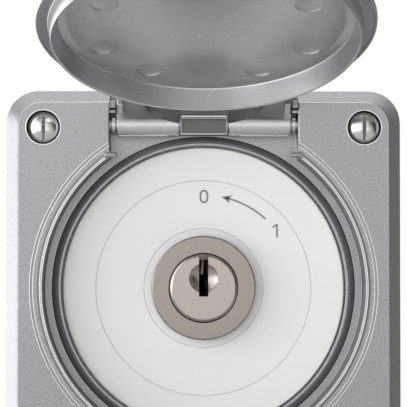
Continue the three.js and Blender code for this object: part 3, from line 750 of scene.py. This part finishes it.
def hinge_scoop():
    """The half-round hollow across both arms of the open lid, with a floor that leans back."""
    steps, front_h, rise, lean = 64, 18, 1.8, 0.9
    bm = bmesh.new()
    front, floor_ring = [], []
    for k in range(steps + 1):
        angle = math.pi * (1 + k / steps)
        x, z = SCOOP_HALF_X * math.cos(angle), SCOOP_Z + SCOOP_HALF_Z * math.sin(angle)
        floor_h = max(PIN_H + rise - lean * (z - PIN_Z), WELL_FLOOR_H + 1)
        front.append(bm.verts.new((x, -front_h, z)))
        floor_ring.append(bm.verts.new((x, -floor_h, z)))
    skin(bm, [front, floor_ring])
    bm.faces.new(front)
    bmesh.ops.triangulate(bm, faces=[bm.faces.new(floor_ring)])
    return cut(object_from("scoop", bm), opened(lid_shell()))


def lid():
    """The lid's dish with its round ejector marks, and the two hinge arms in a brighter copy of the lid's
    metal: painted highlight on the barrels.
    """
    low, top = PIN_H + 5, PIN_H + 7.02
    shell = lid_shell()
    for x, z in MARK_SPOTS:
        for side in (-1, 1):
            mark = revolve("mark", [(0, low), (MARK_R, low), (MARK_R, top, 0.12), (0, top)], False, 64, 4)
            shell = cut(shell, moved(mark, side * x, 0, z))
    finish_piece(opened(shell), "lid", "cast_aluminium", "lid", look="lid_aluminium")
    bore = moved(pin_bore(PIN_R + 0.06, 25), 0, PIN_H, PIN_Z)
    arms = opened(cut(join(lid_arm(-1), lid_arm(1)), bore))
    arms = cut(join(arms, barrel_ridge(-1), barrel_ridge(1)), hinge_scoop())
    finish_piece(arms, "lid_arms", "cast_aluminium", "lid", nodes=[], look="arm_painted_highlight")


def hinge_hardware():
    """The hinge pin and a washer at each end of the arms."""
    end, half, inner_r, outer_r, washer_x = 21.3, 0.45, PIN_R + 0.3, 1.9, 19.0
    pin = revolve("pin", [(0, -end), (PIN_R, -end, 0.2), (PIN_R, end, 0.2), (0, end)], False, 32, 3, "x")
    finish_piece(moved(pin, 0, PIN_H, PIN_Z), "hinge_pin", "zinc_steel")
    for side, word in ((-1, "left"), (1, "right")):
        washer = revolve("washer", [
            (inner_r, -half, 0.05), (outer_r, -half, 0.3), (outer_r, half, 0.3), (inner_r, half, 0.05),
        ], True, 48, 4, "x")
        finish_piece(moved(washer, side * washer_x, PIN_H, PIN_Z), "hinge_washer_" + word, "zinc_steel")


# ---- white cover and its printing ----
def covers():
    """Three white pieces; a fine joint between two of them shows a ledge just under the face."""
    top, joint, ledge, lap, under = COVER_H, 0.055, 0.3, 0.22, 0.18
    skirt_in, skirt_low, shelf_in, shelf_low, shelf_top = 28.0, 1.6, 20.6, 5.6, 6.9
    flange_r, flange_low, flange_top = COVER_R + COVER_FLANGE, 6.2, 7.4
    ring_in, disc_in, disc_out = SPLIT_R - under, COLLAR_R - under, SPLIT_R - 0.3
    finish_piece(revolve("cover_ring", [
        (skirt_in, skirt_low), (COVER_R, skirt_low), (COVER_R, flange_low), (flange_r, flange_low),
        (flange_r, flange_top), (COVER_R, flange_top), (COVER_R, top, 0.25), (SPLIT_R + joint, top, 0.05),
        (SPLIT_R + joint, top - ledge), (ring_in, top - ledge), (ring_in, shelf_top),
        (shelf_in, shelf_top), (shelf_in, shelf_low), (skirt_in, shelf_low),
    ], True, 224), "cover_ring", "white_plastic")
    finish_piece(revolve("cover_disc", [
        (disc_in, 7.2), (disc_out, 7.2), (disc_out, top - lap), (SPLIT_R - joint, top - lap),
        (SPLIT_R - joint, top, 0.05), (COLLAR_R + joint, top, 0.05), (COLLAR_R + joint, top - ledge),
        (disc_in, top - ledge),
    ], True, 192), "cover_disc", "white_plastic")
    bore_r, foot_r, neck_r = 9.35, 11.2, COLLAR_R - 0.3
    finish_piece(revolve("lock_collar", [
        (bore_r, 4.0), (foot_r, 4.0), (foot_r, 6.0), (neck_r, 6.9), (neck_r, top - lap),
        (COLLAR_R - joint, top - lap), (COLLAR_R - joint, top, 0.06), (bore_r, top),
    ], True, 144), "lock_collar", "white_plastic")


def flat_mark(name, outlines):
    """A printed mark: thin plates with the given (x, z) outlines, on the white cover's face."""
    half_thick = 0.02
    bm = bmesh.new()
    for outer in outlines:
        low = [bm.verts.new((x, -COVER_H + half_thick, z)) for x, z in outer]
        high = [bm.verts.new((x, -COVER_H - half_thick, z)) for x, z in outer]
        skin(bm, [low, high])
        bm.faces.new(low)
        bm.faces.new(high)
    return object_from(name, bm)


def stroke(points, width):
    """Both sides of a line of (x, z) points, as one outline."""
    left, right = [], []
    for i, (x, z) in enumerate(points):
        a = Vector(points[max(i - 1, 0)])
        b = Vector(points[min(i + 1, len(points) - 1)])
        side = (b - a).normalized()
        side = Vector((-side.y, side.x)) * width / 2
        left.append((x + side.x, z + side.y))
        right.append((x - side.x, z - side.y))
    return left + right[::-1]


def digit_zero():
    """A tall oval, drawn as two half strokes."""
    middle_x, middle_z, width, height = 0.1, 19.4, 1.5, 2.45
    oval = []
    for k in range(49):
        angle = TAU * k / 48
        c, s = math.cos(angle), math.sin(angle)
        x = middle_x + width / 2 * math.copysign(abs(c) ** 0.85, c)
        oval.append((x, middle_z + height / 2 * math.copysign(abs(s) ** 0.75, s)))
    return flat_mark("mark_zero", [stroke(oval[:25], LINE), stroke(oval[24:], LINE)])


def digit_one():
    """An upright with a short flag at its top left."""
    middle_x, middle_z, half = 15.35, 12.15, 1.43
    stem_x = middle_x + 0.25
    upright = stroke([(stem_x, middle_z - half), (stem_x, middle_z + half)], LINE)
    flag = stroke([(middle_x + 0.12, middle_z + 1.27), (middle_x - 0.66, middle_z + 0.67)], LINE * 0.95)
    return flat_mark("mark_one", [upright, flag])


def arrow():
    """A curved arrow about the lock, from the 1 to the 0."""
    def around(degrees):
        angle = math.radians(degrees)
        return Vector((radius * math.cos(angle), radius * math.sin(angle)))

    radius, tail_angle, sweep, steps, half_width = 19.7, 48, 28, 20, 0.88
    shaft = stroke([around(tail_angle + sweep * k / steps) for k in range(steps + 1)], 0.36)
    tip, back = around(79), around(72.6)
    along = (tip - back).normalized()
    across = Vector((-along.y, along.x)) * half_width
    head = [tip, back + across, back + along * 0.55, back - across]
    return flat_mark("mark_arrow", [shaft, [tuple(point) for point in head]])


def printing():
    """The marks printed on the white cover."""
    for mark, name in ((digit_zero(), "mark_zero"), (digit_one(), "mark_one"), (arrow(), "mark_arrow")):
        finish_piece(mark, name, "print", nodes=[])


# ---- lock ----
def bezel():
    """The lock's nickel ring."""
    gap_r, back = PLUG_R + 0.13, COVER_H + 0.35
    finish_piece(revolve("bezel", [
        (gap_r, back), (BEZEL_R, back, 0.15), (BEZEL_R, BEZEL_H, 0.35), (gap_r, BEZEL_H, 0.12),
    ], True, 160), "lock_bezel", "nickel")


def plug():
    """The turning plug: key slot with a notch above it, a ward, a round hollow and the tail for the cam."""
    tail_h, shoulder_h, step_h, back_h, front = -22.6, -17.6, -16.2, KEY_SLOT_END_H, BEZEL_H + 0.12
    body = revolve("plug", [
        (0, tail_h), (2.6, tail_h, 0.2), (2.6, shoulder_h), (5.4, shoulder_h), (5.4, step_h),
        (PLUG_R, step_h, 0.2), (PLUG_R, front - 0.37), (PLUG_R - 0.55, front), (0, front),
    ], False, 128)
    across = (-KEY_SLOT_HALF, KEY_SLOT_HALF)
    slot = slab("slot", across, KEY_SLOT_Z, (back_h, 20))
    notch = bar("notch", [(5.9, BEZEL_H - 2.4), (8, BEZEL_H - 0.9), (8, 20), (5.9, 20)], across)
    ward = slab("ward", (-KEY_SLOT_HALF - 0.5, 0), (-0.6, 0.6), (back_h, BEZEL_H - 1.5))
    tail_flat = slab("flat", (-4, 4), (-4, -1.7), (-24, -17.8))
    bowl = moved(ball("bowl", 4.3), 0, BEZEL_H + 3.1, 2.05)
    tail_hole = revolve("tail_hole", [(0, -23), (1.55, -23), (1.55, -18.5), (0, -18.5)], False, 32)
    body = cut(body, slot, notch, bowl, ward, tail_flat, tail_hole)
    finish_piece(body, "lock_plug", "nickel", "plug", look="plug_nickel")


def key_slot_end():
    """The closed end of the key slot, as a black sheet: painted shade for the deep slot."""
    gap, low, high = 0.03, KEY_SLOT_Z[0], KEY_SLOT_Z[1]
    x = (-KEY_SLOT_HALF + gap, KEY_SLOT_HALF - gap)
    end = slab("end", x, (low + gap, high - gap), (KEY_SLOT_END_H + gap, KEY_SLOT_END_H + 0.4), 0.05)
    finish_piece(end, "key_slot_end", "grey_plastic", "plug", nodes=[], look="slot_painted_shade")


# ---- support plate and switch ----
def hole_at(radius, low, high, x, z):
    """A round cutter through the heights low to high."""
    hole = revolve("hole", [(0, low), (radius, low), (radius, high), (0, high)], False, 40, 1)
    return moved(hole, x, 0, z)


def support_plate():
    """The steel plate between gasket and switch, with its slots for adjusting it."""
    low, high, slot_r, window_r = -1, 3, 2.1, 1.6
    slot_x, slot_half, window_z, window_half = 30, 2, 31, 4
    plate = square_loft("plate", [
        (PLATE_HALF - 1, 0), (PLATE_HALF, 0, 0.15), (PLATE_HALF, PLATE_H, 0.15), (PLATE_HALF - 1, PLATE_H),
    ], lambda half: 4.2)
    plate = cut(plate, hole_at(9.4, low, high, 0, 0))
    for sx, sz in CORNERS.values():
        plate = cut(plate, hole_at(2.15, low, high, sx * SCREW_XZ, sz * SCREW_XZ))
    for side in (-1, 1):
        x, z = side * slot_x, side * window_z
        slot = join(hole_at(slot_r, low, high, x, -slot_half), hole_at(slot_r, low, high, x, slot_half),
                    slab("slot", (x - slot_r, x + slot_r), (-slot_half, slot_half), (low, high)))
        ends = [hole_at(window_r, low, high, end, z) for end in (-window_half, window_half)]
        window = join(*ends, slab("window", (-window_half, window_half), (z - window_r, z + window_r),
                                  (low, high)))
        plate = cut(plate, slot, window, hole_at(1.9, low, high, side * 20, 0))
    finish_piece(plate, "support_plate", "zinc_steel")


def rear_cover():
    """The switch's back, with the holes for the wires, the cover screws and the terminal screws."""
    low, high = SWITCH_BACK_H - 2.3, SWITCH_BACK_H - 0.3
    cover = revolve("cover", [(0, low), (SWITCH_R, low, 0.7), (SWITCH_R, high, 0.1), (0, high)], False, 128)
    for side in (-1, 1):
        for radius, x, z in ((3.0, 13.6, -14.8), (1.6, 16, 14), (2.3, 7.2, -16.5)):
            cover = cut(cover, hole_at(radius, -30, -20, side * x, z))
    finish_piece(cover, "rear_cover", "grey_plastic")


def plunger_spring():
    """The coil spring under the plunger, as one fixed coil; the real spring shortens as the plunger goes
    down.
    """
    low, high = box_mm("plunger_spring")
    wire_r, turns, segments, sides = 0.26, 5, 24, 10
    coil_r = (high.x - low.x) / 2 - wire_r
    start = low.z + wire_r
    length = high.z - wire_r - start
    bm = bmesh.new()
    rings = []
    for i in range(turns * segments + 1):
        c, s = math.cos(TAU * i / segments), math.sin(TAU * i / segments)
        ring = []
        for k in range(sides):
            r = coil_r + wire_r * math.cos(TAU * k / sides)
            z = length * i / (turns * segments) + wire_r * math.sin(TAU * k / sides)
            ring.append(bm.verts.new((r * c, r * s, z)))
        rings.append(ring)
    skin(bm, rings)
    bm.faces.new(rings[0])
    bm.faces.new(rings[-1])
    middle_y = (low.y + high.y) / 2
    spring = moved(object_from("spring", bm), 0, -middle_y, start)
    finish_piece(spring, "plunger_spring", "spring_steel")
    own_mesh(spring)


def carried_nodes():
    """The inner pieces keep their CAD shape, with rounded edges and their own material."""
    slots = {part["node"]: part["material_slot"] for part in frame["record"]["subparts"]}
    for name, node in frame["nodes"].items():
        if node.hide_render:
            continue
        node.data.materials.clear()
        node.data.materials.append(MATERIALS[slots[name]])
        node.data.shade_smooth()
        weld = node.modifiers.new("weld", "WELD")
        weld.merge_threshold = 0.001 * MM
        bevel = node.modifiers.new("edges", "BEVEL")
        bevel.width = 0.12 * MM
        bevel.segments = 2
        bevel.limit_method = "ANGLE"
        bevel.angle_limit = math.radians(50)
        weighted = node.modifiers.new("weighted_normals", "WEIGHTED_NORMAL")
        weighted.weight = 80


front_frame()
painted_highlight_edges()
gasket_and_seal()
frame_screws()
lid()
hinge_hardware()
covers()
printing()
bezel()
plug()
key_slot_end()
support_plate()
rear_cover()
plunger_spring()
carried_nodes()


# ---- stage ----
LOBES = {
    "left, behind": ((-0.72, 0.66, -0.2), 2.45, 0.82, 0.95),
    "left": ((-1, -0.15, -0.1), 1.0, 0.82, 0.97),
    "front, low": ((-0.15, -1, -0.3), 1.25, 0.4, 1.0),
    "behind, high": ((0, 0.6, 0.8), 0.68, 0.6, 0.95),
    "above": ((0, -0.05, 1), 1.7, 0.8, 0.97),
    "left, high": ((-0.7, -0.1, 0.7), 1.5, 0.8, 0.96),
    "left, front": ((-0.75, -0.6, 0.1), 1.2, 0.8, 0.97),
    "right": ((1, 0, 0.1), 0.07, 0.2, 0.9),
    "dark panel, right front": ((0.68, -0.73, -0.02), -0.32, 0.8, 0.97),
}
AMBIENT = 0.25


def studio_world():
    """A bright studio, lit by soft lobes: direction, strength, and the cosines where one starts and ends.

    The camera itself sees plain white.
    """
    world = bpy.data.worlds.new("studio")
    bpy.context.scene.world = world
    world.use_nodes = True
    tree = world.node_tree
    tree.nodes.clear()
    output = tree.nodes.new("ShaderNodeOutputWorld")
    coordinate = tree.nodes.new("ShaderNodeTexCoord")

    def lobe(direction, strength, low, high):
        """A soft light from one direction, as a strength that depends on where a ray goes."""
        dot = tree.nodes.new("ShaderNodeVectorMath")
        dot.operation = "DOT_PRODUCT"
        dot.inputs[1].default_value = Vector(direction).normalized()
        tree.links.new(coordinate.outputs["Generated"], dot.inputs[0])
        span = tree.nodes.new("ShaderNodeMapRange")
        span.interpolation_type = "SMOOTHSTEP"
        span.inputs["From Min"].default_value = low
        span.inputs["From Max"].default_value = high
        span.inputs["To Max"].default_value = strength
        tree.links.new(dot.outputs["Value"], span.inputs["Value"])
        return span.outputs["Result"]

    ambient = tree.nodes.new("ShaderNodeValue")
    ambient.outputs[0].default_value = AMBIENT
    total = ambient.outputs[0]
    for direction, strength, low, high in LOBES.values():
        add = tree.nodes.new("ShaderNodeMath")
        tree.links.new(total, add.inputs[0])
        tree.links.new(lobe(direction, strength, low, high), add.inputs[1])
        total = add.outputs[0]
    studio = tree.nodes.new("ShaderNodeBackground")
    tree.links.new(total, studio.inputs["Strength"])
    studio.inputs["Color"].default_value = (1, 1, 1, 1)
    plain = tree.nodes.new("ShaderNodeBackground")
    plain.inputs["Color"].default_value = (1, 1, 1, 1)
    plain.inputs["Strength"].default_value = 1.0
    seen = tree.nodes.new("ShaderNodeLightPath")
    mix = tree.nodes.new("ShaderNodeMixShader")
    tree.links.new(seen.outputs["Is Camera Ray"], mix.inputs["Fac"])
    tree.links.new(studio.outputs["Background"], mix.inputs[1])
    tree.links.new(plain.outputs["Background"], mix.inputs[2])
    tree.links.new(mix.outputs["Shader"], output.inputs["Surface"])


def placed(name, data, place, target):
    """Puts a light or a camera at a place, in metres, looking at the target."""
    obj = bpy.data.objects.new(name, data)
    bpy.context.scene.collection.objects.link(obj)
    obj.location = place
    obj.rotation_euler = (Vector(target) - obj.location).to_track_quat("-Z", "Y").to_euler()
    return obj


def key_light():
    """A small soft lamp far to the left, for the shadow right of the lock."""
    light = bpy.data.lights.new("key", "AREA")
    light.shape = "RECTANGLE"
    light.size = light.size_y = 0.12
    light.energy = 0.8
    placed("key", light, (-0.59, -0.14, 0.08), (0, -0.04, 0.04))


def floor():
    """A round light grey floor in front of the wall's foot, below the part."""
    radius, gap = 0.25, 0.012
    bm = bmesh.new()
    bmesh.ops.create_circle(bm, cap_ends=True, segments=96, radius=radius)
    obj = object_from("floor", bm)
    obj.location = (0, -0.2, CAD_BOX[0][2] - gap)
    n = Nodes("floor")
    grain = n.noise(40, 2, 0.5)
    n.put(Base_Color=n.ramp(grain, (0.52, 0.52, 0.52), (0.56, 0.56, 0.56)), Roughness=0.7)
    obj.data.materials.append(n.material)


def camera():
    """The photo's view: half a metre in front, a little left, with a picture 85.3 mm wide at the face."""
    picture_width, distance, sensor_width = 85.3 * MM, 503 * MM, 36
    target = Vector((-0.1 * MM, -FACE_H * MM, 17.7 * MM))
    data = bpy.data.cameras.new("camera")
    obj = placed("camera", data, (-8.4 * MM, -FACE_H * MM - distance, 1.0 * MM), target)
    data.sensor_width = sensor_width
    data.lens = sensor_width * (target - obj.location).length / picture_width
    data.clip_start = 0.01
    bpy.context.scene.camera = obj


studio_world()
key_light()
floor()
camera()

scene = bpy.context.scene
scene.view_settings.view_transform = "Standard"
scene.view_settings.look = "None"
